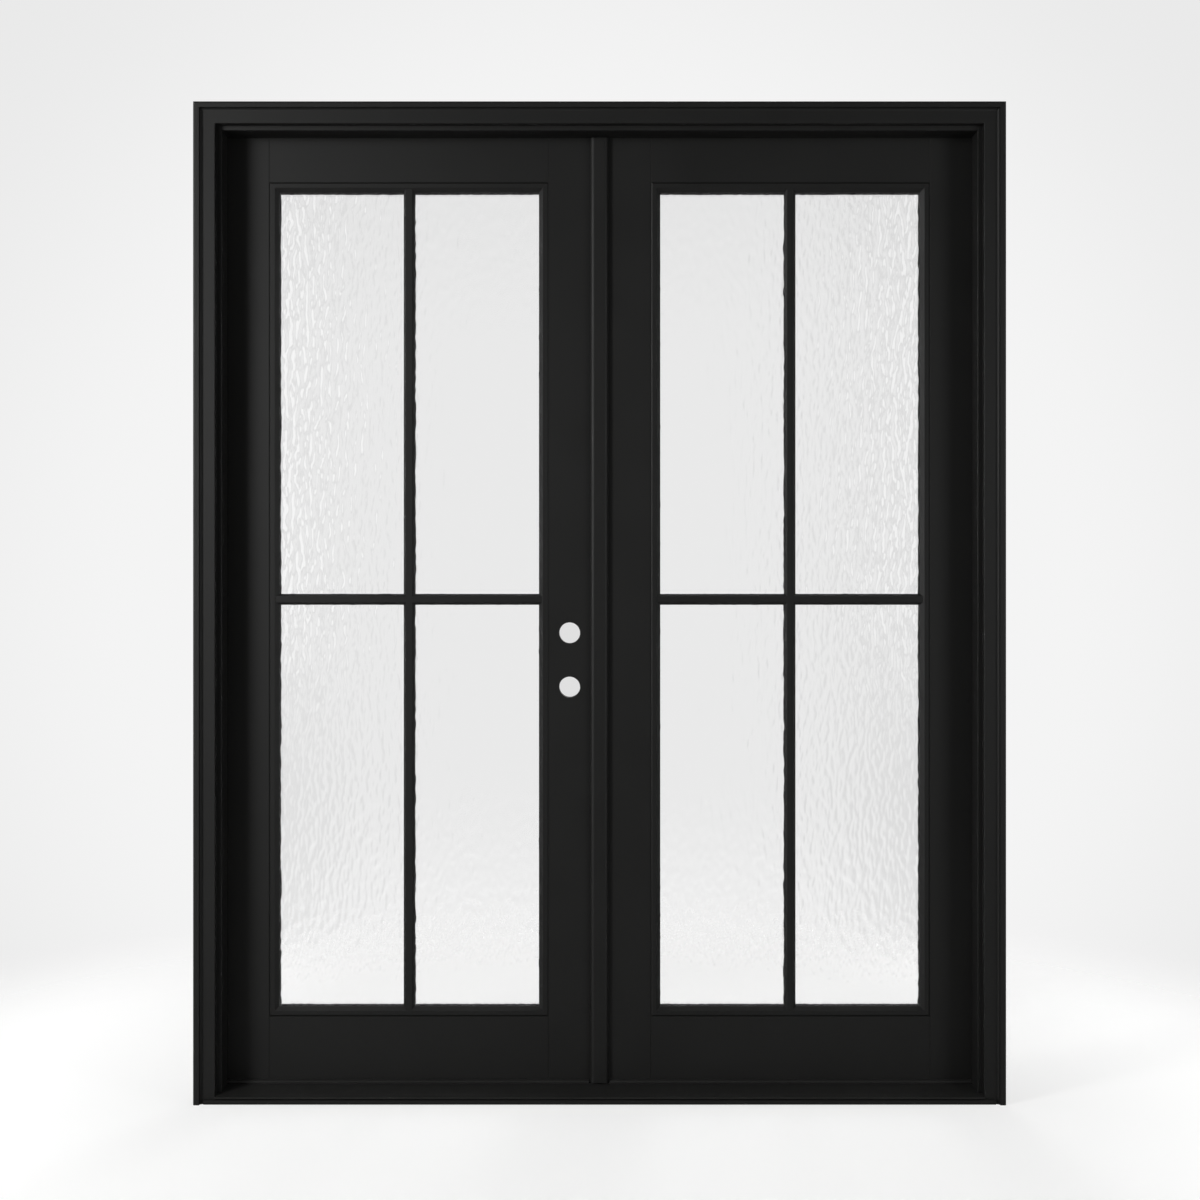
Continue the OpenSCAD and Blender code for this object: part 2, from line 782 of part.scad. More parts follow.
module grille(side, inner) {
    x0 = lite_x0 + bead_w;
    x1 = lite_x1 - bead_w;
    z0 = lite_z0 + bead_w;
    z1 = lite_z1 - bead_w;
    cross_x = muntin_w / 2 + bead_joint;
    color(paint) on_side(side) on_face(inner) translate([0, unit_y0, 0]) {
        intersection() {
            run_z(lite_z0, lite_z1) translate([lite_cx, 0]) mirror([0, 1]) muntin_section();
            run_x(lite_x0, lite_x1) mirror([1, -1]) mirror([0, 1])
                polygon(bar_outline(z0, bead_end(), z1, bead_end()));
        }
        for (ends = [
            [x0, bead_end(), lite_cx - cross_x, cross_end()],
            [lite_cx + cross_x, cross_end(), x1, bead_end()]
        ])
            intersection() {
                run_x(lite_x0, lite_x1) translate([0, lite_cz]) rotate(90) muntin_section();
                run_z(lite_z0, lite_z1) mirror([0, 1])
                    polygon(bar_outline(ends[0], ends[1], ends[2], ends[3]));
            }
    }
}

// Sweep along a leaf's foot, with its drip lip starting at lip_x0
module sweep(side, lip_x0) {
    fin_z0 = threshold_h + seal_clear;
    lip_z0 = threshold_h + drip_lip_clear;
    lip_y1 = leaf_y0 + sweep_inset + sweep_fin_t;
    plate_y0 = leaf_y0 + sweep_inset;
    plate_y1 = leaf_y1 - sweep_inset;
    fin_h = leaf_z0 - fin_z0 - sweep_t / 2;
    fin_pitch = (plate_y1 - plate_y0 - sweep_fin_t) / (sweep_fins - 1);
    color(seal_black) on_side(side) {
        run_x(leaf_x0, leaf_x1) {
            translate([plate_y0, leaf_z0 - sweep_t]) square([plate_y1 - plate_y0, sweep_t]);
            for (i = [0 : sweep_fins - 1])
                translate([plate_y0 + i * fin_pitch, fin_z0]) square([sweep_fin_t, fin_h]);
        }
        run_x(lip_x0, stop_x - seal_clear) polygon([
            [leaf_y0 - drip_lip, lip_z0],
            [leaf_y0 - drip_lip, lip_z0 + drip_lip_h],
            [lip_y1, leaf_z0 - sweep_t / 2],
            [lip_y1, lip_z0]
        ]);
    }
}

// Astragal and flush bolts

module flange_section() {
    x0 = -meet_x - astragal_lap;
    x1 = meet_x + astragal_seat;
    difference() {
        translate([x0, flange_y0]) square([x1 - x0, flange_t]);
        translate([x0, flange_y0]) corner_round(flange_round, [1, 1]);
        translate([x1, flange_y0]) corner_round(flange_round, [-1, 1]);
        translate([x0 - over, leaf_y0 - flange_relief]) square([stem_x0 - x0 + over, flange_relief + over]);
        tongue_section(tongue_clear);
    }
}

// The stem's tongue, grown by clear to cut the groove that takes it
module tongue_section(clear) {
    translate([bolt_x - tongue_w / 2 - clear, leaf_y0 - tongue_d - clear])
        square([tongue_w + 2 * clear, tongue_d + clear + over]);
}

// Height of a thumb tab's middle on the top bolt, and on the bottom bolt
tab_top_z = leaf_z1 - bolt_l + tab_l;
tab_foot_z = leaf_z0 + bolt_l - tab_l;

module tab_slot(z0, z1) {
    block([stem_x0 - over, bolt_y - tab_w / 2 - tab_clear, z0 - tab_l / 2 - tab_clear],
        [bolt_x, bolt_y + tab_w / 2 + tab_clear, z1 + tab_l / 2 + tab_clear]);
}

module astragal_flange() {
    color(paint) run_z(flange_z0, flange_z1) flange_section();
}

module astragal_stem() {
    bore_l = bolt_l + bolt_end_gap + over;
    color(paint) difference() {
        union() {
            run_z(leaf_z0, flange_z1) tongue_section(0);
            block([stem_x0, leaf_y0, leaf_z0], [meet_x, leaf_y1, leaf_z1]);
        }
        translate([bolt_x, bolt_y, leaf_z1 - bore_l]) cylinder(r = bolt_r + bolt_clear, h = bore_l + over);
        translate([bolt_x, bolt_y, leaf_z0 - over]) cylinder(r = bolt_r + bolt_clear, h = bore_l + over);
        tab_slot(tab_top_z, tab_top_z + bolt_travel);
        tab_slot(tab_foot_z - bolt_travel, tab_foot_z);
        for (z = lock_zs) translate([0, leaf_mid_y, z])
            run_x(stem_x0 - over, stem_x0 + pocket_d) stadium(pocket_w, pocket_h);
    }
}

module astragal_seal() {
    x0 = (stem_x0 - meet_x - astragal_lap - lap_seal_w) / 2;
    h = flange_relief - seal_clear;
    color(seal_black) run_z(leaf_z0, flange_z1) translate([x0, leaf_y0 - flange_relief]) difference() {
        square([lap_seal_w, h]);
        for (end = [0, 1]) translate([end * lap_seal_w, h]) corner_round(h / 2, [1 - 2 * end, -1]);
    }
}

// A flush bolt whose rod starts at z0, with its thumb tab's middle at tab_z
module flush_bolt(z0, tab_z) {
    color(bare_steel) {
        translate([bolt_x, bolt_y, z0]) cylinder(r = bolt_r, h = bolt_l);
        block([stem_x0 - tab_proud, bolt_y - tab_w / 2, tab_z - tab_l / 2],
            [bolt_x, bolt_y + tab_w / 2, tab_z + tab_l / 2]);
    }
}

module strike_outline(clear) {
    difference() {
        translate([bolt_x, bolt_y]) stadium_flat(strike_l + 2 * clear, strike_w + 2 * clear);
        if (clear == 0) translate([bolt_x, bolt_y]) circle(bolt_r + strike_clear);
    }
}

// A rectangle with half-round ends, centred, long way across
module stadium_flat(l, w) {
    rotate(90) stadium(w, l);
}

module strike(z0) {
    color(bare_steel) run_z(z0, z0 + strike_t) strike_outline(0);
}

jamb(-1);  // left_jamb
jamb(1);  // right_jamb
head_jamb();
casing_leg(-1);  // left_casing
casing_leg(1);  // right_casing
head_casing();
sill_base();
sill_deck();
threshold_cap();
side_seal(-1);  // left_seal
side_seal(1);  // right_seal
head_seal();
corner_pads();
strike(rabbet_z);  // head_strike
strike(threshold_h - strike_t);  // sill_strike
frame_hinges(-1);  // left_frame_hinges
frame_hinges(1);  // right_frame_hinges
hinge_pins(-1);  // left_hinge_pins
hinge_pins(1);  // right_hinge_pins
hinge_stile(-1);  // left_hinge_stile
lock_stile();  // left_lock_stile
rail(-1, lite_z1, leaf_z1);  // left_top_rail
rail(-1, leaf_z0, lite_z0);  // left_bottom_rail
beads(-1, false);  // left_outer_beads
beads(-1, true);  // left_inner_beads
pane(-1, unit_y0);  // left_outer_pane
pane(-1, unit_y0 + pane_t + pane_space);  // left_inner_pane
spacer(-1);  // left_spacer
grille(-1, false);  // left_outer_grille
grille(-1, true);  // left_inner_grille
setting_blocks(-1);  // left_setting_blocks
sweep(-1, meet_x + astragal_lap + drip_lip_end);  // left_sweep
leaf_hinges(-1);  // left_leaf_hinges
hinge_stile(1);  // right_hinge_stile
meeting_stile();  // right_meeting_stile
rail(1, lite_z1, leaf_z1);  // right_top_rail
rail(1, leaf_z0, lite_z0);  // right_bottom_rail
beads(1, false);  // right_outer_beads
beads(1, true);  // right_inner_beads
pane(1, unit_y0);  // right_outer_pane
pane(1, unit_y0 + pane_t + pane_space);  // right_inner_pane
spacer(1);  // right_spacer
grille(1, false);  // right_outer_grille
grille(1, true);  // right_inner_grille
setting_blocks(1);  // right_setting_blocks
sweep(1, meet_x + astragal_seat + drip_lip_end);  // right_sweep
leaf_hinges(1);  // right_leaf_hinges
astragal_flange();
astragal_stem();
astragal_seal();
flush_bolt(leaf_z1 - bolt_end_gap - bolt_l, tab_top_z);  // top_bolt
flush_bolt(leaf_z0 + bolt_end_gap, tab_foot_z);  // bottom_bolt
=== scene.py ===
"""Black double entry doors with rain glass: the finishes, the relief of the glass, the screws, the studio.

Everything is in metres in the frame of the loaded model: X runs across the opening, Y from outdoors to
indoors and Z up, with the origin in the middle of the sill's underside.
"""

import json
import math

import bmesh
import bpy
from bpy.props import FloatProperty, FloatVectorProperty, IntProperty, PointerProperty
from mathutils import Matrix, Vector


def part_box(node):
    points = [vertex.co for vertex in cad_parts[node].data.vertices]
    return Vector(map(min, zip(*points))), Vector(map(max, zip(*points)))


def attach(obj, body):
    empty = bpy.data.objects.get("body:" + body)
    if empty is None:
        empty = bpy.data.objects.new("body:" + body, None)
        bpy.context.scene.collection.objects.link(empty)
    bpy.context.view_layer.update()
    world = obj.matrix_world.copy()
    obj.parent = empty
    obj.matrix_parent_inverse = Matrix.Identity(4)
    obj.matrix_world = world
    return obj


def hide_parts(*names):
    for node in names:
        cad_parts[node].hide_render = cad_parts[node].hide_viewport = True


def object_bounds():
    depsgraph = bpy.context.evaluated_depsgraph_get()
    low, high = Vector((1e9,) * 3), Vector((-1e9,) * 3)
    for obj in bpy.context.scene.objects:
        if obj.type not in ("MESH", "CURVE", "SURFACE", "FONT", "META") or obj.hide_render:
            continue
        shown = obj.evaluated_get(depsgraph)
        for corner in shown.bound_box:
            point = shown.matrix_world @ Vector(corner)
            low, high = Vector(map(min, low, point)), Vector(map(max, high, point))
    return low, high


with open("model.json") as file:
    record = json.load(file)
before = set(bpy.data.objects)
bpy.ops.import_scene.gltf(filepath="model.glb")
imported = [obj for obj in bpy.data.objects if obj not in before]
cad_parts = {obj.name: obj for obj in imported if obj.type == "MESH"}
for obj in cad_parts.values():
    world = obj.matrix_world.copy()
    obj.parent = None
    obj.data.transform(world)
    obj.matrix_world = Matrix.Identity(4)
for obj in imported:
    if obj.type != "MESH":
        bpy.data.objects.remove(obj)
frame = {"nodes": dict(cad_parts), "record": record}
CAD_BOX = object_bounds()

bl_info = {
    "name": "Rain Glass Doors",
    "version": (1, 0, 0),
    "blender": (4, 5, 0),
    "location": "View3D > Sidebar > Doors",
    "description": "Dresses a pair of black entry doors and sets them in a pale studio",
    "category": "Object",
}

MM = 0.001
SIDES = {"left": -1, "right": 1}

# Which nodes of the model take which finish
PAINTED = ["left_jamb", "right_jamb", "head_jamb", "left_casing", "right_casing", "head_casing",
           "astragal_flange", "astragal_stem", "left_lock_stile", "right_meeting_stile"]
PAINTED += [f"{side}_{name}" for side in SIDES for name in (
    "hinge_stile", "top_rail", "bottom_rail", "outer_beads", "inner_beads", "outer_grille", "inner_grille")]
RUBBER = ["left_seal", "right_seal", "head_seal", "corner_pads", "astragal_seal"]
RUBBER += [f"{side}_setting_blocks" for side in SIDES]
SWEEPS = [f"{side}_sweep" for side in SIDES]
HINGES = [f"{side}_{name}" for side in SIDES for name in ("frame_hinges", "leaf_hinges", "hinge_pins")]
BOLTS = ["top_bolt", "bottom_bolt", "head_strike", "sill_strike"]

# Camera: level, all but on the doors' centre line, and far enough out for its lens to hold the whole frame
CAMERA_STAND_OFF = 4.19
CAMERA_ASIDE = 0.001
EYE_HEIGHT = 1.2706
LENS_MM = 50.0
SENSOR_MM = 36.0

# A soft change is written as its start, its end and the level at each, for these sockets of a Map Range
CHANGE = ("From Min", "From Max", "To Min", "To Max")

# Levels of the backdrop: what each goes by, and its change. spread is how far the line of sight is off the
# middle, aside how far it is off to either side, and x, y and z are the parts of its direction
BACKDROP_LEVELS = {
    "ahead": ("y", 0.7, 0.85, 0.0, 1.0),
    "wall": ("spread", 0.26, 0.46, 0.905, 0.82),
    "beside": ("aside", 0.17, 0.23, 0.82, 1.0),
    "above": ("z", 0.24, 0.28, 0.0, 1.0),
    "glass_side": ("aside", 0.14, 0.185, 0.865, 0.775),
    "glass_right": ("x", 0.10, 0.16, 1.0, 0.96),
    "glass_top": ("z", 0.14, 0.27, 1.0, 0.94),
    "glass_foot": ("z", -0.23, -0.11, 1.1, 1.0),
    "screens": ("aside", 0.182, 0.202, 0.0, 0.21),
    "screens_foot": ("z", -0.13, 0.02, 0.0, 1.0),
    "mirrored_front": ("y", -0.25, 0.25, 0.13, 1.0),
    "mirrored_top": ("z", 0.0, 0.35, 1.0, 0.3),
}
PLAIN_WALL = 0.86

# Soft lights: places and sizes in metres
KEY_PLACE = (-3.6, -3.1, 2.4)
FILL_PLACE = (3.6, -3.0, 1.7)
BACK_PLACE = (0.6, 4.0, 4.7)
SIDE_LIGHT_SIZE = (1.7, 2.6)
BACK_LIGHT_SIZE = (2.0, 1.5)
# A light fades from its middle to its edges, so that a pane mirrors it softly. Places on it run from 0 to 1
# each way, and its middle is brighter to keep its power
LIGHT_MIDDLE = (0.5, 0.5, 0.0)
LIGHT_FADE = (0.1, 0.5, 1.0, 0.0)
LIGHT_RISE = 2.78

# Floor: a disc that fades out at its rim, with a glow that is brighter through the glass and dimmer in the
# middle, a painted shade of the doors
FLOOR_RADIUS = 2.8
FLOOR_FADE = (1.6, FLOOR_RADIUS, 0.0, 1.0)
FLOOR_GLOW_WITH_PAINTED_SHADE = (0.7, 1.8, 0.638, 0.81)
FLOOR_THROUGH_GLASS = 1.1
FLOOR_CORNERS = 96

# Screws: four in each hinge plate, two in each strike, with heads that stand a hair proud
HINGE_SCREW_Z = (-38 * MM, -13 * MM, 13 * MM, 38 * MM)
HINGE_SCREW_Y = (22 * MM, 11 * MM, 11 * MM, 22 * MM)
STRIKE_SCREW_X = 21 * MM
HINGE_GROUP_GAP = 50 * MM
HEIGHT_DIGITS = 5
SCREW_SIDES = 24
RECESS_WIDTH_SHARE = 0.2
RECESS_DEPTH_SHARE = 0.8

# Patterns: how fine a noise is, and the span of it that counts as low to high. Each pane starts elsewhere in
# the rain pattern, so that the panes don't repeat each other
MOTTLE_DETAIL = 3.0
GRAIN_DETAIL = 2.0
MOTTLE_SPAN = (0.3, 0.7)
RAIN_DETAIL = 1.5
RAIN_ROUGHNESS = 0.45
RAIN_SPAN = (0.32, 0.68)
RAIN_START = {"left": (2.0, 6.0, 0.0), "right": (4.0, 4.0, 0.0)}

# Typical index of soda-lime glass
GLASS_IOR = 1.52
# Coatings and rubbers reflect a little less than a clear gloss would
DULL_SPECULAR = 0.37


def linear(code):
    """The linear colour, with alpha, of an sRGB hex code."""
    parts = [int(code[i:i + 2], 16) / 255 for i in (1, 3, 5)]
    return [c / 12.92 if c <= 0.04045 else ((c + 0.055) / 1.055) ** 2.4 for c in parts] + [1.0]


def per_mm(size):
    """A texture scale, in repeats to the metre, for a pattern of that size in millimetres."""
    return 1 / (size * MM)


def add(tree, kind, inputs=None, **settings):
    """Add a node, apply its settings, and set or link its inputs."""
    node = tree.nodes.new(kind)
    for name, value in settings.items():
        setattr(node, name, value)
    for key, value in (inputs or {}).items():
        if isinstance(value, bpy.types.NodeSocket):
            tree.links.new(value, node.inputs[key])
        else:
            node.inputs[key].default_value = value
    return node


def assign(nodes, material):
    """Give the nodes of the model a material in place of their own."""
    for name in nodes:
        shape = frame["nodes"][name]
        if not shape.material_slots:
            shape.data.materials.append(material)
        for slot in shape.material_slots:
            slot.material = material


def finish(name, dark, light, mottle_mm, roughness, grain_mm, grain_depth_mm,
           stretch=(1, 1, 1), metallic=0.0):
    """An opaque finish: two close colours in soft mottles, sheen that varies with them, and a fine grain."""
    material = bpy.data.materials.new(name)
    material.use_nodes = True
    tree = material.node_tree
    surface = tree.nodes["Principled BSDF"]
    surface.inputs["Metallic"].default_value = metallic
    surface.inputs["Specular IOR Level"].default_value = DULL_SPECULAR
    place = add(tree, "ShaderNodeTexCoord").outputs["Object"]
    run = add(tree, "ShaderNodeMapping", {"Vector": place, "Scale": stretch}).outputs["Vector"]
    mottle = add(tree, "ShaderNodeTexNoise", {
        "Vector": place, "Scale": per_mm(mottle_mm), "Detail": MOTTLE_DETAIL})
    grain = add(tree, "ShaderNodeTexNoise", {
        "Vector": run, "Scale": per_mm(grain_mm), "Detail": GRAIN_DETAIL})
    # Sockets 6 and 7 of a Mix node are its two colours, and output 2 is the mixed one
    colour = add(tree, "ShaderNodeMix", {0: mottle.outputs["Fac"], 6: dark, 7: light}, data_type="RGBA")
    tree.links.new(colour.outputs[2], surface.inputs["Base Color"])
    sheen = add(tree, "ShaderNodeMapRange", {
        "Value": mottle.outputs["Fac"], "From Min": MOTTLE_SPAN[0], "From Max": MOTTLE_SPAN[1],
        "To Min": roughness[0], "To Max": roughness[1]})
    tree.links.new(sheen.outputs["Result"], surface.inputs["Roughness"])
    bump = add(tree, "ShaderNodeBump", {
        "Height": grain.outputs["Fac"], "Strength": 1.0, "Distance": grain_depth_mm * MM})
    tree.links.new(bump.outputs["Normal"], surface.inputs["Normal"])
    return material


def satin_black_paint(colours):
    """Acrylic paint sprayed over primed wood: dense black, a soft sheen and a trace of orange peel."""
    return finish("satin_black_paint", colours.paint_dark, colours.paint_light, mottle_mm=140,
                  roughness=(0.53, 0.60), grain_mm=2.2, grain_depth_mm=0.012)


def black_composite(colours):
    """Extruded wood-fibre composite of the sill's base: matt, with a fine fibrous grain along its length."""
    return finish("black_composite", colours.sill, colours.paint_light, mottle_mm=30,
                  roughness=(0.6, 0.72), grain_mm=1.5, grain_depth_mm=0.03, stretch=(0.05, 1, 1))


def black_anodised_aluminium(colours):
    """Extruded and black anodised aluminium: fine die lines along its length and a low metallic sheen."""
    return finish("black_anodised_aluminium", colours.anodised, colours.anodised_light, mottle_mm=60,
                  roughness=(0.34, 0.44), grain_mm=0.8, grain_depth_mm=0.01,
                  stretch=(0.01, 1, 1), metallic=0.2)


def black_rubber(colours):
    """Moulded and extruded rubber of the seals and pads: dull, with slightly lighter mottles like bloom."""
    return finish("black_rubber", colours.rubber, colours.paint_dark, mottle_mm=12,
                  roughness=(0.68, 0.82), grain_mm=0.7, grain_depth_mm=0.02)


def black_vinyl_with_painted_light(colours):
    """Extruded vinyl of the sweeps and their drip lips: smooth, lighter than the paint as painted light on
    the lips, with a soft sheen along its length.
    """
    return finish("black_vinyl_with_painted_light", colours.anodised, colours.anodised_light, mottle_mm=80,
                  roughness=(0.36, 0.44), grain_mm=1.0, grain_depth_mm=0.01, stretch=(0.02, 1, 1))


def matt_black_cap_with_painted_shade(colours):
    """Moulded composite of the threshold's cap: dull black, darker as painted shade under the drip lips,
    with slightly lighter mottles like scuffs.
    """
    return finish("matt_black_composite_cap_with_painted_shade", colours.rubber, colours.paint_dark, mottle_mm=50,
                  roughness=(0.7, 0.8), grain_mm=1.2, grain_depth_mm=0.02, stretch=(0.1, 1, 1))


def black_hinge_steel(colours):
    """Powder coated steel of the hinges: an even black with a fine texture."""
    return finish("black_powder_coated_steel", colours.paint_dark, colours.paint_light, mottle_mm=25,
                  roughness=(0.42, 0.55), grain_mm=0.6, grain_depth_mm=0.015)


def brushed_steel(colours):
    """Bare steel of the bolts and strikes, brushed along its length."""
    return finish("brushed_steel", colours.steel, colours.steel_light, mottle_mm=9,
                  roughness=(0.26, 0.38), grain_mm=0.5, grain_depth_mm=0.006,
                  stretch=(1, 1, 0.04), metallic=1.0)


def black_spacer_bar(colours):
    """Folded aluminium bar between the panes, lacquered black, with a slightly uneven sheen."""
    return finish("black_lacquered_spacer", colours.paint_dark, colours.anodised, mottle_mm=4,
                  roughness=(0.45, 0.6), grain_mm=1.2, grain_depth_mm=0.02)


def soda_glass(name, colour):
    """Soda-lime glass: all but colourless, and light passes it without a dark shadow."""
    material = bpy.data.materials.new(name)
    material.use_nodes = True
    tree = material.node_tree
    glass = tree.nodes["Principled BSDF"]
    glass.inputs["Base Color"].default_value = colour
    glass.inputs["Roughness"].default_value = 0.0
    glass.inputs["IOR"].default_value = GLASS_IOR
    glass.inputs["Transmission Weight"].default_value = 1.0
    path = add(tree, "ShaderNodeLightPath")
    clear = add(tree, "ShaderNodeBsdfTransparent", {"Color": colour})
    mix = add(tree, "ShaderNodeMixShader", {
        0: path.outputs["Is Shadow Ray"], 1: glass.outputs["BSDF"], 2: clear.outputs["BSDF"]})
    tree.links.new(mix.outputs["Shader"], tree.nodes["Material Output"].inputs["Surface"])
    return material


def new_tree(name, sizes):
    """A geometry tree with one named input for each size, and its geometry output."""
    tree = bpy.data.node_groups.new(name, "GeometryNodeTree")
    tree.interface.new_socket("Geometry", in_out="INPUT", socket_type="NodeSocketGeometry")
    for label, kind in sizes.items():
        tree.interface.new_socket(label, in_out="INPUT", socket_type=f"NodeSocket{kind}")
    tree.interface.new_socket("Geometry", in_out="OUTPUT", socket_type="NodeSocketGeometry")
    return tree


def grow(name, tree, values, base=None):
    """Run a geometry tree on a base mesh with these values, and return the result as a plain mesh object."""
    shape = bpy.data.objects.new(name, base or bpy.data.meshes.new(name))
    bpy.context.scene.collection.objects.link(shape)
    modifier = shape.modifiers.new(tree.name, "NODES")
    modifier.node_group = tree
    for item in tree.interface.items_tree:
        if item.in_out == "INPUT" and item.name in values:
            modifier[item.identifier] = values[item.name]
    evaluated = shape.evaluated_get(bpy.context.evaluated_depsgraph_get())
    mesh = bpy.data.meshes.new_from_object(evaluated)
    shape.modifiers.clear()
    shape.data = mesh
    mesh.name = name
    return shape


def rain_tree():
    """Geometry tree for one patterned face: a grid in the pane's plane, pressed with wandering rivulets."""
    tree = new_tree("rain_relief", {
        "Width": "Float", "Height": "Float", "Columns": "Int", "Rows": "Int",
        "Centre": "Vector", "Offset": "Vector",
        "Rivulet Width": "Float", "Rivulet Length": "Float", "Wander": "Float", "Depth": "Float",
        "Material": "Material"})
    size = add(tree, "NodeGroupInput").outputs
    grid = add(tree, "GeometryNodeMeshGrid", {
        "Size X": size["Width"], "Size Y": size["Height"],
        "Vertices X": size["Columns"], "Vertices Y": size["Rows"]})
    place = add(tree, "GeometryNodeInputPosition").outputs["Position"]
    moved = add(tree, "ShaderNodeVectorMath", {0: place, 1: size["Offset"]}, operation="ADD")
    cell = add(tree, "ShaderNodeCombineXYZ", {
        "X": size["Rivulet Width"], "Y": size["Rivulet Length"], "Z": 1.0})
    run = add(tree, "ShaderNodeVectorMath", {
        0: moved.outputs["Vector"], 1: cell.outputs["Vector"]}, operation="DIVIDE")
    noise = add(tree, "ShaderNodeTexNoise", {
        "Vector": run.outputs["Vector"], "Scale": 1.0, "Detail": RAIN_DETAIL,
        "Roughness": RAIN_ROUGHNESS, "Distortion": size["Wander"]})
    press = add(tree, "ShaderNodeMapRange", {
        "Value": noise.outputs["Fac"], "From Min": RAIN_SPAN[0], "From Max": RAIN_SPAN[1],
        "To Min": 0.0, "To Max": size["Depth"]}, interpolation_type="SMOOTHSTEP")
    flat = add(tree, "ShaderNodeSeparateXYZ", {"Vector": place}).outputs
    sunk = add(tree, "ShaderNodeMath", {0: press.outputs["Result"], 1: -1.0}, operation="MULTIPLY")
    upright = add(tree, "ShaderNodeCombineXYZ", {"X": flat["X"], "Y": sunk.outputs["Value"], "Z": flat["Y"]})
    put = add(tree, "ShaderNodeVectorMath", {
        0: upright.outputs["Vector"], 1: size["Centre"]}, operation="ADD")
    shaped = add(tree, "GeometryNodeSetPosition", {
        "Geometry": grid.outputs["Mesh"], "Position": put.outputs["Vector"]})
    smooth = add(tree, "GeometryNodeSetShadeSmooth", {
        "Geometry": shaped.outputs["Geometry"], "Shade Smooth": True})
    real = add(tree, "GeometryNodeRealizeInstances", {"Geometry": smooth.outputs["Geometry"]})
    coat = add(tree, "GeometryNodeSetMaterial", {
        "Geometry": real.outputs["Geometry"], "Material": size["Material"]})
    add(tree, "NodeGroupOutput", {"Geometry": coat.outputs["Geometry"]})
    return tree


def close_pane(shape, front_y):
    """Carry the patterned face's edge forward to the flat front, and fill the front."""
    mesh = bmesh.new()
    mesh.from_mesh(shape.data)
    border = [edge for edge in mesh.edges if edge.is_boundary]
    for edge in border:
        edge.smooth = False
    made = bmesh.ops.extrude_edge_only(mesh, edges=border)["geom"]
    for part in made:
        if isinstance(part, bmesh.types.BMVert):
            part.co.y = front_y
        else:
            part.smooth = False
    rim = [part for part in made if isinstance(part, bmesh.types.BMEdge) and part.is_boundary]
    for face in bmesh.ops.contextual_create(mesh, geom=rim)["faces"]:
        face.smooth = False
    bmesh.ops.recalc_face_normals(mesh, faces=mesh.faces)
    mesh.to_mesh(shape.data)
    mesh.free()


def screw_tree():
    """Geometry tree for screw heads: a low cone with a cross recess on each point, turned to its facing."""
    tree = new_tree("screw_heads", {
        "Radius": "Float", "Proud": "Float", "Recess Width": "Float", "Recess Depth": "Float",
        "Material": "Material"})
    size = add(tree, "NodeGroupInput").outputs
    top = add(tree, "ShaderNodeMath", {0: size["Radius"], 1: size["Proud"]}, operation="SUBTRACT")
    head = add(tree, "GeometryNodeMeshCone", {
        "Vertices": SCREW_SIDES, "Radius Top": top.outputs["Value"], "Radius Bottom": size["Radius"],
        "Depth": size["Proud"]})
    # The recess is a cross of two bars, each as long and as tall as the head's radius
    cross = add(tree, "GeometryNodeMeshBoolean", operation="UNION")
    for along, across in (("X", "Y"), ("Y", "X")):
        box = add(tree, "ShaderNodeCombineXYZ", {
            along: size["Radius"], across: size["Recess Width"], "Z": size["Radius"]})
        bar = add(tree, "GeometryNodeMeshCube", {"Size": box.outputs["Vector"]})
        tree.links.new(bar.outputs["Mesh"], cross.inputs["Mesh 2"])
    foot = add(tree, "ShaderNodeMath", {0: size["Proud"], 1: size["Recess Depth"]}, operation="SUBTRACT")
    half = add(tree, "ShaderNodeMath", {0: size["Radius"], 1: 0.5}, operation="MULTIPLY")
    rise = add(tree, "ShaderNodeMath", {0: foot.outputs["Value"], 1: half.outputs["Value"]}, operation="ADD")
    up = add(tree, "ShaderNodeCombineXYZ", {"Z": rise.outputs["Value"]})
    raised = add(tree, "GeometryNodeTransform", {
        "Geometry": cross.outputs["Mesh"], "Translation": up.outputs["Vector"]})
    cut = add(tree, "GeometryNodeMeshBoolean", {
        "Mesh 1": head.outputs["Mesh"], "Mesh 2": raised.outputs["Geometry"]}, operation="DIFFERENCE")
    facing = add(tree, "GeometryNodeInputNamedAttribute", {"Name": "facing"}, data_type="FLOAT_VECTOR")
    turn = add(tree, "FunctionNodeAlignRotationToVector", {"Vector": facing.outputs["Attribute"]}, axis="Z")
    heads = add(tree, "GeometryNodeInstanceOnPoints", {
        "Points": size["Geometry"], "Instance": cut.outputs["Mesh"], "Rotation": turn.outputs["Rotation"]})
    real = add(tree, "GeometryNodeRealizeInstances", {"Geometry": heads.outputs["Instances"]})
    coat = add(tree, "GeometryNodeSetMaterial", {
        "Geometry": real.outputs["Geometry"], "Material": size["Material"]})
    add(tree, "NodeGroupOutput", {"Geometry": coat.outputs["Geometry"]})
    return tree


def hinge_centres(node):
    """Heights of the hinges in a node: the middle of each group of points that a gap parts from the next."""
    heights = sorted({round(point.co.z, HEIGHT_DIGITS) for point in frame["nodes"][node].data.vertices})
    groups = [[heights[0]]]
    for height in heights[1:]:
        if height - groups[-1][-1] > HINGE_GROUP_GAP:
            groups.append([])
        groups[-1].append(height)
    return [(group[0] + group[-1]) / 2 for group in groups]


def hinge_screws(side, on_leaf):
    """Places and facings of the screws in one side's hinge plates, on the leaf's edge or on the jamb."""
    joint = next(j for j in frame["record"]["behaviour"]["joints"] if j["name"] == f"{side}_leaf_swing")
    low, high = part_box(f"{side}_hinge_stile")
    sign = SIDES[side]
    leaf_edge = high.x if sign > 0 else low.x
    jamb_face = 2 * joint["pos_m"][0] - leaf_edge
    x = leaf_edge if on_leaf else jamb_face
    facing = Vector((sign if on_leaf else -sign, 0, 0))
    node = f"{side}_leaf_hinges" if on_leaf else f"{side}_frame_hinges"
    return [(Vector((x, high.y - y, centre + z)), facing)
            for centre in hinge_centres(node) for z, y in zip(HINGE_SCREW_Z, HINGE_SCREW_Y)]


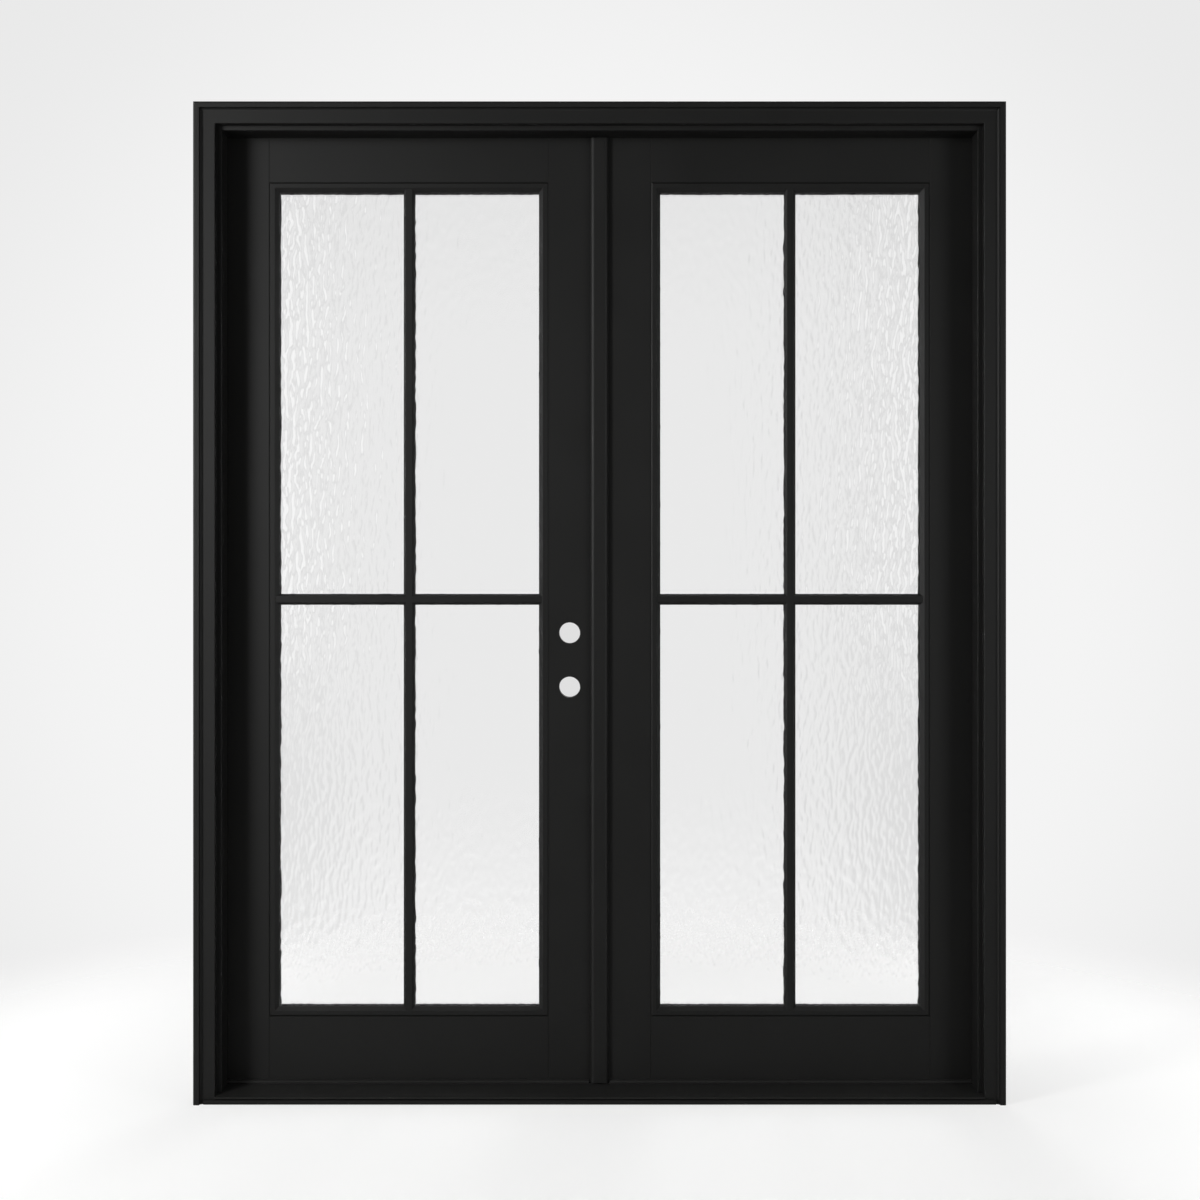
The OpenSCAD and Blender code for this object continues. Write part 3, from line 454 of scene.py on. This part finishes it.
def strike_screws():
    """Places and facings of the screws in the two strike plates."""
    places = []
    for node, facing in (("head_strike", Vector((0, 0, -1))), ("sill_strike", Vector((0, 0, 1)))):
        low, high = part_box(node)
        middle = (low + high) / 2
        z = high.z if facing.z > 0 else low.z
        places += [(Vector((middle.x + end * STRIKE_SCREW_X, middle.y, z)), facing) for end in (-1, 1)]
    return places


def points_mesh(name, places):
    """A mesh of loose points that carry their facing as an attribute."""
    mesh = bpy.data.meshes.new(name)
    mesh.from_pydata([place for place, _ in places], [], [])
    facing = mesh.attributes.new("facing", "FLOAT_VECTOR", "POINT")
    for item, (_, direction) in zip(facing.data, places):
        item.vector = direction
    return mesh


class DoorSizes(bpy.types.PropertyGroup):
    """Sizes of the glass pattern and the screws."""
    rivulet_width: FloatProperty(
        name="Rivulet width", description="Spacing of the rivulets across the rain glass",
        default=10.5 * MM, min=3 * MM, max=30 * MM, unit="LENGTH")
    rivulet_length: FloatProperty(
        name="Rivulet length", description="How long a rivulet runs before it bends away",
        default=26 * MM, min=10 * MM, max=200 * MM, unit="LENGTH")
    rivulet_depth: FloatProperty(
        name="Rivulet depth", description="Depth of the pattern pressed into the glass",
        default=1.15 * MM, min=0.1 * MM, max=2 * MM, unit="LENGTH")
    rivulet_wander: FloatProperty(
        name="Wander", description="How much the rivulets wander from side to side",
        default=1.0, min=0.0, max=2.0)
    glass_columns: IntProperty(
        name="Columns", description="Points across a patterned pane", default=261, min=50, max=270)
    glass_rows: IntProperty(
        name="Rows", description="Points up a patterned pane", default=351, min=50, max=360)
    screw_radius: FloatProperty(
        name="Screw head radius", description="Radius of a hinge or strike screw's head",
        default=4.4 * MM, min=2 * MM, max=6 * MM, unit="LENGTH")
    screw_proud: FloatProperty(
        name="Screw head height", description="How far a screw's head stands out of its plate",
        default=0.25 * MM, min=0.1 * MM, max=0.28 * MM, unit="LENGTH")


# What every colour setting shares
COLOUR = {"subtype": "COLOR", "size": 4, "min": 0, "max": 1}


class DoorColours(bpy.types.PropertyGroup):
    """Colours of the finishes and the floor."""
    paint_dark: FloatVectorProperty(
        name="Paint", description="Black of the paint",
        default=linear("#131312"), **COLOUR)
    paint_light: FloatVectorProperty(
        name="Paint mottle", description="The paint's lighter mottles",
        default=linear("#171716"), **COLOUR)
    sill: FloatVectorProperty(
        name="Sill", description="Black of the sill",
        default=linear("#141413"), **COLOUR)
    anodised: FloatVectorProperty(
        name="Anodised", description="Black of the anodised aluminium",
        default=linear("#252524"), **COLOUR)
    anodised_light: FloatVectorProperty(
        name="Anodised mottle", description="Lighter tone of the anodised aluminium",
        default=linear("#2c2c2b"), **COLOUR)
    rubber: FloatVectorProperty(
        name="Rubber", description="Black of the seals",
        default=linear("#0e0e0e"), **COLOUR)
    steel: FloatVectorProperty(
        name="Steel", description="Bare steel of the bolts",
        default=linear("#a09f9c"), **COLOUR)
    steel_light: FloatVectorProperty(
        name="Steel mottle", description="Brighter streaks of the steel",
        default=linear("#bcbbb8"), **COLOUR)
    glass: FloatVectorProperty(
        name="Glass", description="Tint of the glass",
        default=linear("#fefefe"), **COLOUR)
    floor: FloatVectorProperty(
        name="Floor", description="Pale floor of the studio",
        default=linear("#a0a09f"), **COLOUR)


class StudioLight(bpy.types.PropertyGroup):
    """Strength of the studio's light."""
    key: FloatProperty(
        name="Key", description="Power of the soft light on the left",
        default=146.0, min=0, subtype="POWER")
    fill: FloatProperty(
        name="Fill", description="Power of the soft light on the right",
        default=47.0, min=0, subtype="POWER")
    back: FloatProperty(
        name="Back", description="Power of the soft light behind the doors",
        default=62.0, min=0, subtype="POWER")
    ambient: FloatProperty(
        name="Ambient", description="Strength of the even light from all round", default=0.247, min=0, max=1)


class DOORS_OT_paint(bpy.types.Operator):
    """Paint the frame, the casing and the leaves"""
    bl_idname = "doors.paint"
    bl_label = "Painted Wood"

    def execute(self, context):
        assign(PAINTED, satin_black_paint(context.scene.door_colours))
        return {"FINISHED"}


class DOORS_OT_sill(bpy.types.Operator):
    """Finish the sill's base, its deck and the threshold cap"""
    bl_idname = "doors.sill"
    bl_label = "Sill"

    def execute(self, context):
        colours = context.scene.door_colours
        assign(["sill_base"], black_composite(colours))
        assign(["sill_deck"], black_anodised_aluminium(colours))
        # The cap's near-black is partly painted shade, where the sweeps' drip lips shade it
        assign(["threshold_cap"], matt_black_cap_with_painted_shade(colours))
        return {"FINISHED"}


class DOORS_OT_seals(bpy.types.Operator):
    """Finish the seals, pads, sweeps and setting blocks"""
    bl_idname = "doors.seals"
    bl_label = "Seals"

    def execute(self, context):
        colours = context.scene.door_colours
        assign(RUBBER, black_rubber(colours))
        # The sweeps' lighter black is partly painted light, as caught by their drip lips
        assign(SWEEPS, black_vinyl_with_painted_light(colours))
        return {"FINISHED"}


class DOORS_OT_hardware(bpy.types.Operator):
    """Finish the hinges, their pins, the flush bolts and the strikes"""
    bl_idname = "doors.hardware"
    bl_label = "Hinges and Bolts"

    def execute(self, context):
        colours = context.scene.door_colours
        assign(HINGES, black_hinge_steel(colours))
        assign(BOLTS, brushed_steel(colours))
        return {"FINISHED"}


class DOORS_OT_clear_glass(bpy.types.Operator):
    """Finish the clear inner panes and the spacers"""
    bl_idname = "doors.clear_glass"
    bl_label = "Clear Glass"

    def execute(self, context):
        colours = context.scene.door_colours
        assign([f"{side}_inner_pane" for side in SIDES], soda_glass("clear_float_glass", colours.glass))
        assign([f"{side}_spacer" for side in SIDES], black_spacer_bar(colours))
        return {"FINISHED"}


class DOORS_OT_rain_glass(bpy.types.Operator):
    """Press the rain pattern into the back of the outer panes"""
    bl_idname = "doors.rain_glass"
    bl_label = "Rain Glass"

    def execute(self, context):
        sizes = context.scene.door_sizes
        material = soda_glass("pressed_rain_glass", context.scene.door_colours.glass)
        tree = rain_tree()
        for side in SIDES:
            low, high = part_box(f"{side}_outer_pane")
            centre = (low + high) / 2
            pane = grow(f"{side}_rain_pane", tree, {
                "Width": high.x - low.x, "Height": high.z - low.z,
                "Columns": sizes.glass_columns, "Rows": sizes.glass_rows,
                "Centre": (centre.x, high.y, centre.z), "Offset": RAIN_START[side],
                "Rivulet Width": sizes.rivulet_width, "Rivulet Length": sizes.rivulet_length,
                "Wander": sizes.rivulet_wander, "Depth": sizes.rivulet_depth, "Material": material})
            close_pane(pane, low.y)
            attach(pane, f"{side}_leaf")
            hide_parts(f"{side}_outer_pane")
        return {"FINISHED"}


class DOORS_OT_screws(bpy.types.Operator):
    """Set the screws of the hinge plates and the strikes"""
    bl_idname = "doors.screws"
    bl_label = "Screws"

    def execute(self, context):
        sizes = context.scene.door_sizes
        tree = screw_tree()
        material = black_hinge_steel(context.scene.door_colours)
        groups = {f"{side}_leaf": hinge_screws(side, True) for side in SIDES}
        groups["frame"] = strike_screws() + [place for side in SIDES for place in hinge_screws(side, False)]
        for body, places in groups.items():
            name = f"{body}_screws"
            screws = grow(name, tree, {
                "Radius": sizes.screw_radius, "Proud": sizes.screw_proud,
                "Recess Width": sizes.screw_radius * RECESS_WIDTH_SHARE,
                "Recess Depth": sizes.screw_proud * RECESS_DEPTH_SHARE, "Material": material},
                points_mesh(name, places))
            if not screws.data.polygons:
                raise RuntimeError(f"no screw heads were made for {body}")
            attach(screws, body)
        return {"FINISHED"}


def studio_world(ambient):
    """A pale backdrop for what is seen, mirrored or seen through glass, and an even ambient for the rest."""
    world = bpy.data.worlds.new("studio")
    world.use_nodes = True
    tree = world.node_tree
    tree.nodes.clear()
    path = add(tree, "ShaderNodeLightPath").outputs
    way = add(tree, "ShaderNodeSeparateXYZ", {
        "Vector": add(tree, "ShaderNodeTexCoord").outputs["Generated"]}).outputs
    aside = add(tree, "ShaderNodeMath", {0: way["X"]}, operation="ABSOLUTE").outputs["Value"]
    off = add(tree, "ShaderNodeCombineXYZ", {"X": way["X"], "Y": way["Z"]}).outputs["Vector"]
    spread = add(tree, "ShaderNodeVectorMath", {0: off}, operation="LENGTH").outputs["Value"]
    sources = {"x": way["X"], "y": way["Y"], "z": way["Z"], "aside": aside, "spread": spread}
    level = {}
    for name, (source, *change) in BACKDROP_LEVELS.items():
        step = add(tree, "ShaderNodeMapRange", {
            "Value": sources[source], **dict(zip(CHANGE, change))}, interpolation_type="SMOOTHSTEP")
        level[name] = step.outputs["Result"]
    # The backdrop dims towards its corners, and right behind the doors, which keep the light off it
    shade = add(tree, "ShaderNodeMath", {
        0: level["beside"], 1: level["above"]}, operation="MAXIMUM").outputs["Value"]
    backdrop = add(tree, "ShaderNodeMath", {
        0: level["wall"], 1: shade}, operation="MULTIPLY").outputs["Value"]
    # Mirrored in the paint, the studio in front of the doors is dark, and darker overhead
    gloss = backdrop
    for name in ("mirrored_front", "mirrored_top"):
        gloss = add(tree, "ShaderNodeMath", {
            0: gloss, 1: level[name]}, operation="MULTIPLY").outputs["Value"]
    # Through the glass the backdrop falls off to the sides and to the top, rises to the floor's level at the
    # foot, and is a little darker on the right. Bright side screens, which only the rivulets of the outer
    # panes bend into view, fade towards the foot
    screens = add(tree, "ShaderNodeMath", {
        0: level["screens"], 1: level["screens_foot"]}, operation="MULTIPLY").outputs["Value"]
    through = add(tree, "ShaderNodeMath", {
        0: level["glass_side"], 1: screens}, operation="ADD").outputs["Value"]
    for name in ("glass_right", "glass_top", "glass_foot"):
        through = add(tree, "ShaderNodeMath", {
            0: through, 1: level[name]}, operation="MULTIPLY").outputs["Value"]
    # To the sides and behind the camera the backdrop is plain
    backdrop, through = (add(tree, "ShaderNodeMix", {
        "Factor": level["ahead"], "A": PLAIN_WALL, "B": there}, data_type="FLOAT").outputs["Result"]
        for there in (backdrop, through))
    # A ray through glass counts as glossy too, so the glass decides last
    seen = add(tree, "ShaderNodeMix", {
        "Factor": path["Is Glossy Ray"], "A": backdrop, "B": gloss}, data_type="FLOAT").outputs["Result"]
    strength = add(tree, "ShaderNodeMix", {
        "Factor": path["Is Transmission Ray"], "A": seen, "B": through}, data_type="FLOAT").outputs["Result"]
    shown = path["Is Camera Ray"]
    for name in ("Is Transmission Ray", "Is Glossy Ray"):
        shown = add(tree, "ShaderNodeMath", {0: shown, 1: path[name]}, operation="MAXIMUM").outputs["Value"]
    white = linear("#ffffff")
    soft = add(tree, "ShaderNodeBackground", {"Color": white, "Strength": ambient})
    pale = add(tree, "ShaderNodeBackground", {"Color": white, "Strength": strength})
    mix = add(tree, "ShaderNodeMixShader", {
        0: shown, 1: soft.outputs["Background"], 2: pale.outputs["Background"]})
    add(tree, "ShaderNodeOutputWorld", {"Surface": mix.outputs["Shader"]})
    return world


def studio_floor(colour):
    """A round pale floor that keeps the doors' shadow, with painted shade in its dimmer middle, and fades
    into the backdrop at its rim.
    """
    mesh = bmesh.new()
    bmesh.ops.create_circle(mesh, cap_ends=True, radius=FLOOR_RADIUS, segments=FLOOR_CORNERS)
    data = bpy.data.meshes.new("studio_floor")
    mesh.to_mesh(data)
    mesh.free()
    floor = bpy.data.objects.new("studio_floor", data)
    bpy.context.scene.collection.objects.link(floor)
    material = bpy.data.materials.new("matt_pale_floor")
    material.use_nodes = True
    tree = material.node_tree
    tree.nodes.clear()
    path = add(tree, "ShaderNodeLightPath").outputs
    place = add(tree, "ShaderNodeTexCoord").outputs["Object"]
    reach = add(tree, "ShaderNodeVectorMath", {0: place}, operation="LENGTH").outputs["Value"]
    across = add(tree, "ShaderNodeSeparateXYZ", {"Vector": place}).outputs["X"]
    aside = add(tree, "ShaderNodeMath", {0: across}, operation="ABSOLUTE").outputs["Value"]
    # The glow dims towards the middle: painted shade of the doors on the floor
    fade, glow = (add(tree, "ShaderNodeMapRange", {
        "Value": source, **dict(zip(CHANGE, change))}, interpolation_type="SMOOTHSTEP").outputs["Result"]
        for source, change in ((reach, FLOOR_FADE), (aside, FLOOR_GLOW_WITH_PAINTED_SHADE)))
    through = add(tree, "ShaderNodeMath", {
        0: path["Is Transmission Ray"], 1: FLOOR_THROUGH_GLASS}, operation="MULTIPLY")
    seen = add(tree, "ShaderNodeMath", {
        0: path["Is Camera Ray"], 1: through.outputs["Value"]}, operation="MAXIMUM")
    share = add(tree, "ShaderNodeMath", {0: seen.outputs["Value"], 1: glow}, operation="MULTIPLY")
    matt = add(tree, "ShaderNodeBsdfDiffuse", {"Color": colour})
    light = add(tree, "ShaderNodeEmission", {"Strength": share.outputs["Value"]})
    lit = add(tree, "ShaderNodeAddShader", {0: matt.outputs["BSDF"], 1: light.outputs["Emission"]})
    clear = add(tree, "ShaderNodeBsdfTransparent")
    rim = add(tree, "ShaderNodeMixShader", {
        0: fade, 1: lit.outputs["Shader"], 2: clear.outputs["BSDF"]})
    add(tree, "ShaderNodeOutputMaterial", {"Surface": rim.outputs["Shader"]})
    data.materials.append(material)


def soft_light(name, power, place, target, size):
    """A soft-edged rectangular light, aimed at a target, unseen by the camera and through the glass."""
    data = bpy.data.lights.new(name, "AREA")
    data.shape = "RECTANGLE"
    data.size, data.size_y = size
    data.energy = power
    data.use_nodes = True
    tree = data.node_tree
    tree.nodes.clear()
    spot = add(tree, "ShaderNodeNewGeometry").outputs["Parametric"]
    off = add(tree, "ShaderNodeVectorMath", {0: spot, 1: LIGHT_MIDDLE}, operation="SUBTRACT")
    aside = add(tree, "ShaderNodeVectorMath", {0: off.outputs["Vector"]}, operation="ABSOLUTE")
    way = add(tree, "ShaderNodeSeparateXYZ", {"Vector": aside.outputs["Vector"]}).outputs
    strength = LIGHT_RISE
    for axis in ("X", "Y"):
        fade = add(tree, "ShaderNodeMapRange", {
            "Value": way[axis], **dict(zip(CHANGE, LIGHT_FADE))}, interpolation_type="SMOOTHSTEP")
        strength = add(tree, "ShaderNodeMath", {
            0: strength, 1: fade.outputs["Result"]}, operation="MULTIPLY").outputs["Value"]
    glow = add(tree, "ShaderNodeEmission", {"Strength": strength})
    add(tree, "ShaderNodeOutputLight", {"Surface": glow.outputs["Emission"]})
    light = bpy.data.objects.new(name, data)
    light.location = place
    light.rotation_euler = (Vector(target) - Vector(place)).to_track_quat("-Z", "Y").to_euler()
    light.visible_camera = False
    light.visible_transmission = False
    bpy.context.scene.collection.objects.link(light)


class DOORS_OT_studio(bpy.types.Operator):
    """Set the floor, the backdrop, the lights and the camera"""
    bl_idname = "doors.studio"
    bl_label = "Studio"

    def execute(self, context):
        scene = context.scene
        light = scene.studio_light
        middle = (0.0, 0.0, EYE_HEIGHT)
        scene.world = studio_world(light.ambient)
        studio_floor(scene.door_colours.floor)
        soft_light("key_light", light.key, KEY_PLACE, middle, SIDE_LIGHT_SIZE)
        soft_light("fill_light", light.fill, FILL_PLACE, middle, SIDE_LIGHT_SIZE)
        soft_light("back_light", light.back, BACK_PLACE, middle, BACK_LIGHT_SIZE)
        data = bpy.data.cameras.new("camera")
        data.lens = LENS_MM
        data.sensor_width = SENSOR_MM
        camera = bpy.data.objects.new("camera", data)
        front = CAD_BOX[0][1]
        camera.location = (CAMERA_ASIDE, front - CAMERA_STAND_OFF, EYE_HEIGHT)
        camera.rotation_euler = (math.pi / 2, 0, 0)
        scene.collection.objects.link(camera)
        scene.camera = camera
        scene.view_settings.view_transform = "Standard"
        return {"FINISHED"}


OPERATORS = (DOORS_OT_paint, DOORS_OT_sill, DOORS_OT_seals, DOORS_OT_hardware, DOORS_OT_clear_glass,
             DOORS_OT_rain_glass, DOORS_OT_screws, DOORS_OT_studio)


class DOORS_PT_panel(bpy.types.Panel):
    """Lists the steps that dress the doors"""
    bl_idname = "DOORS_PT_panel"
    bl_label = "Rain Glass Doors"
    bl_space_type = "VIEW_3D"
    bl_region_type = "UI"
    bl_category = "Doors"

    def draw(self, context):
        for step in OPERATORS:
            self.layout.operator(step.bl_idname)
        for group in (context.scene.door_sizes, context.scene.door_colours, context.scene.studio_light):
            box = self.layout.box()
            for name in group.__annotations__:
                box.prop(group, name)


CLASSES = (DoorSizes, DoorColours, StudioLight) + OPERATORS + (DOORS_PT_panel,)


def register():
    for item in CLASSES:
        bpy.utils.register_class(item)
    bpy.types.Scene.door_sizes = PointerProperty(type=DoorSizes)
    bpy.types.Scene.door_colours = PointerProperty(type=DoorColours)
    bpy.types.Scene.studio_light = PointerProperty(type=StudioLight)


def unregister():
    del bpy.types.Scene.studio_light
    del bpy.types.Scene.door_colours
    del bpy.types.Scene.door_sizes
    for item in reversed(CLASSES):
        bpy.utils.unregister_class(item)


def main():
    register()
    bpy.ops.doors.paint()
    bpy.ops.doors.sill()
    bpy.ops.doors.seals()
    bpy.ops.doors.hardware()
    bpy.ops.doors.clear_glass()
    bpy.ops.doors.rain_glass()
    bpy.ops.doors.screws()
    bpy.ops.doors.studio()


if __name__ == "__main__":
    main()
